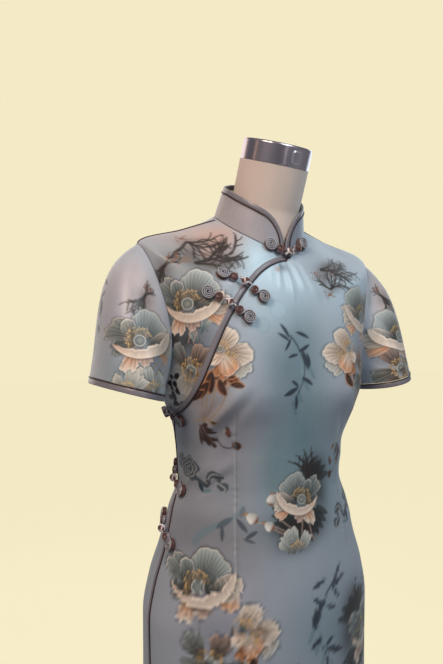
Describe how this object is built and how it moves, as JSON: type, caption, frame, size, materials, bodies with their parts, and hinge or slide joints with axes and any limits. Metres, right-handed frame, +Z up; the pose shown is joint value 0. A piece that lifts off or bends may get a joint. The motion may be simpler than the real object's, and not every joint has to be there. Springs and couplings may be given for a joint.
{
  "type": "cheongsam dress on a dress form",
  "caption": "Short-sleeved cheongsam in flower-printed satin with a stand collar, slanted piped opening, rolled frog fastenings and side slits, on a limbless dress form and round stand.",
  "frame": {"origin": "centre of the base plate's underside, on the floor", "axes": "+Z up the stand; the figure faces -Y, so the wearer's left is +X"},
  "size_m": [0.506, 0.34, 1.5462],
  "materials": {
    "printed_satin": "silvery grey satin printed with pale poppies, dark sprays and bamboo",
    "plain_satin": "plain silvery mauve satin",
    "satin_binding": "mauve grey satin bias binding",
    "piping": "dark red-brown corded piping",
    "frog_ribbon": "two-tone rolled satin ribbon, mauve grey and red-brown",
    "form_jersey": "cream jersey stretched over the form",
    "brushed_steel": "brushed steel"
  },
  "bodies": {
    "root": {"front_panel": "printed_satin", "underlap": "printed_satin", "back_panel": "printed_satin", "sleeve_right": "printed_satin", "sleeve_left": "printed_satin", "collar": "plain_satin", "collar_binding": "satin_binding", "collar_piping": "piping", "front_binding": "satin_binding", "front_piping": "piping", "back_binding": "satin_binding", "back_piping": "piping", "sleeve_right_binding": "satin_binding", "sleeve_right_piping": "piping", "sleeve_left_binding": "satin_binding", "sleeve_left_piping": "piping", "shoulder_piping_right": "piping", "shoulder_piping_left": "piping", "frog_collar_loop": "frog_ribbon", "frog_collar_knot": "frog_ribbon", "frog_collar_ball": "frog_ribbon", "frog_chest_upper_loop": "frog_ribbon", "frog_chest_upper_knot": "frog_ribbon", "frog_chest_upper_ball": "frog_ribbon", "frog_chest_lower_loop": "frog_ribbon", "frog_chest_lower_knot": "frog_ribbon", "frog_chest_lower_ball": "frog_ribbon", "frog_armpit_loop": "frog_ribbon", "frog_armpit_knot": "frog_ribbon", "frog_armpit_ball": "frog_ribbon", "frog_waist_loop": "frog_ribbon", "frog_waist_knot": "frog_ribbon", "frog_waist_ball": "frog_ribbon", "frog_hip_loop": "frog_ribbon", "frog_hip_knot": "frog_ribbon", "frog_hip_ball": "frog_ribbon", "form_torso": "form_jersey", "neck_cap": "brushed_steel", "stand_socket": "brushed_steel", "stand_pole": "brushed_steel", "stand_base": "brushed_steel"}
  },
  "joints": []
}
